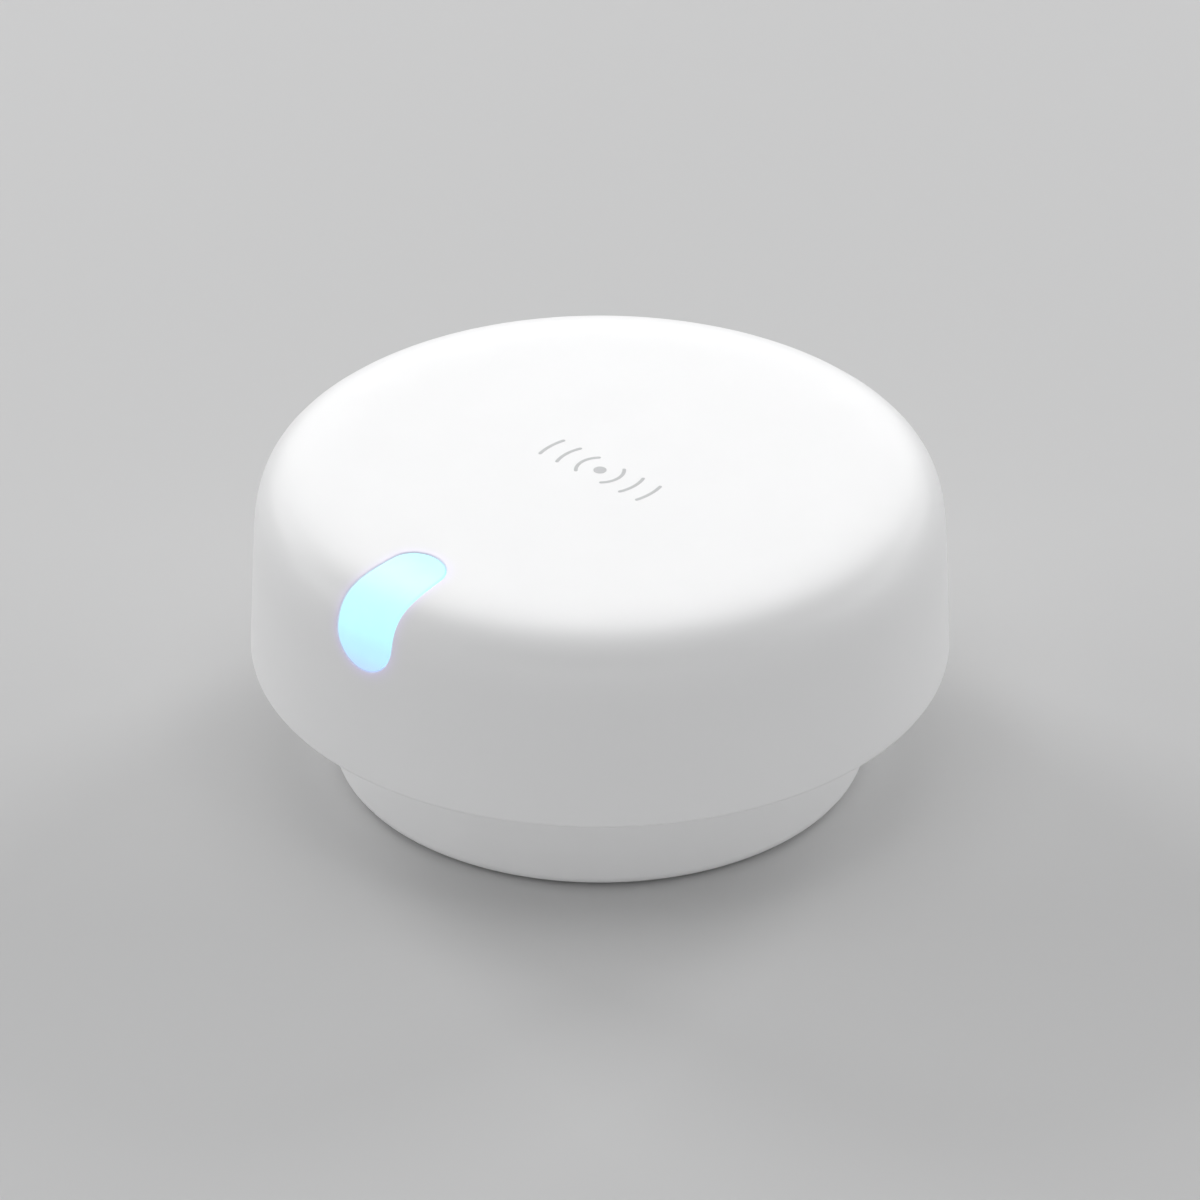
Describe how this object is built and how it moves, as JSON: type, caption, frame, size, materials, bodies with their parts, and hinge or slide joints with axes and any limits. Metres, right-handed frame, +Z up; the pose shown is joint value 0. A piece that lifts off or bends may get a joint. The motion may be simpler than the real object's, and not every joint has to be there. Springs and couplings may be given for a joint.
{
  "type": "round presence sensor",
  "caption": "Round white desk or wall presence sensor: puck head with a lit pill-shaped indicator over its rim, on a fold-out swivelling foot with a rear socket and push button.",
  "frame": {"origin": "on the surface it stands on, under the middle of the foot and head", "axes": "+Z up out of the flat face, -Y towards the indicator, +Y towards the hinge, -X towards the power socket"},
  "size_m": [0.064, 0.064, 0.0295],
  "materials": {
    "cover_white": "satin moulded white, fine spark texture",
    "base_white": "satin moulded white, fine spark texture",
    "button_white": "smooth white",
    "indicator_lens": "milky diffuser, lit pale cyan from behind",
    "foot_grey": "plain moulded light grey",
    "grip_rubber": "matt soft grip, fine stipple",
    "seal_rubber": "matt silicone",
    "shroud_black": "matt black",
    "component_black": "matt moulded epoxy",
    "board_green": "solder mask over glass fibre",
    "led_clear": "clear resin",
    "screw_steel": "zinc plated",
    "socket_steel": "stainless, satin",
    "weight_steel": "blanked plate, zinc plated",
    "can_steel": "tinned can, satin",
    "brass": "knurled insert and thin washers",
    "acetal": "natural acetal"
  },
  "bodies": {
    "foot": {"foot_shell": "base_white", "foot_bottom": "foot_grey", "weight_plate": "weight_steel", "grip_pad": "grip_rubber", "foot_screw_1": "screw_steel", "foot_screw_2": "screw_steel", "foot_screw_3": "screw_steel", "hinge_pin": "screw_steel", "friction_washer_1": "brass", "friction_washer_2": "brass"},
    "yoke": {"swivel_plate": "base_white", "swivel_washer": "acetal"},
    "head": {"front_cover": "cover_white", "back_cover": "cover_white", "light_guide": "indicator_lens", "cover_seal": "seal_rubber", "port_seal": "seal_rubber", "light_shroud": "shroud_black", "indicator_board": "board_green", "indicator_led_1": "led_clear", "indicator_led_2": "led_clear", "light_sensor": "component_black", "main_board": "board_green", "radar_board": "board_green", "radar_chip": "component_black", "board_connector": "component_black", "radio_module": "board_green", "radio_shield": "can_steel", "usb_socket": "socket_steel", "tact_switch": "component_black", "power_inductor": "component_black", "capacitor_1": "can_steel", "capacitor_2": "can_steel", "back_screw_1": "screw_steel", "back_screw_2": "screw_steel", "back_screw_3": "screw_steel", "back_screw_4": "screw_steel", "swivel_insert": "brass", "swivel_screw": "screw_steel"},
    "button": {"button_cap": "button_white"}
  },
  "joints": [
    {"name": "tilt", "type": "hinge", "parent": "foot", "child": "yoke", "pos_m": [0, 0.0228, 0.0096], "axis": [-1, 0, 0], "range_deg": [0, 90]},
    {"name": "swivel", "type": "hinge", "parent": "yoke", "child": "head", "pos_m": [0, 0, 0.0144], "axis": [0, 0, 1], "range_deg": [-90, 90]},
    {"name": "button_press", "type": "slide", "parent": "head", "child": "button", "axis": [0.7071, -0.7071, 0], "range_m": [0, 0.0004], "stiffness_N_per_m": 5000}
  ]
}
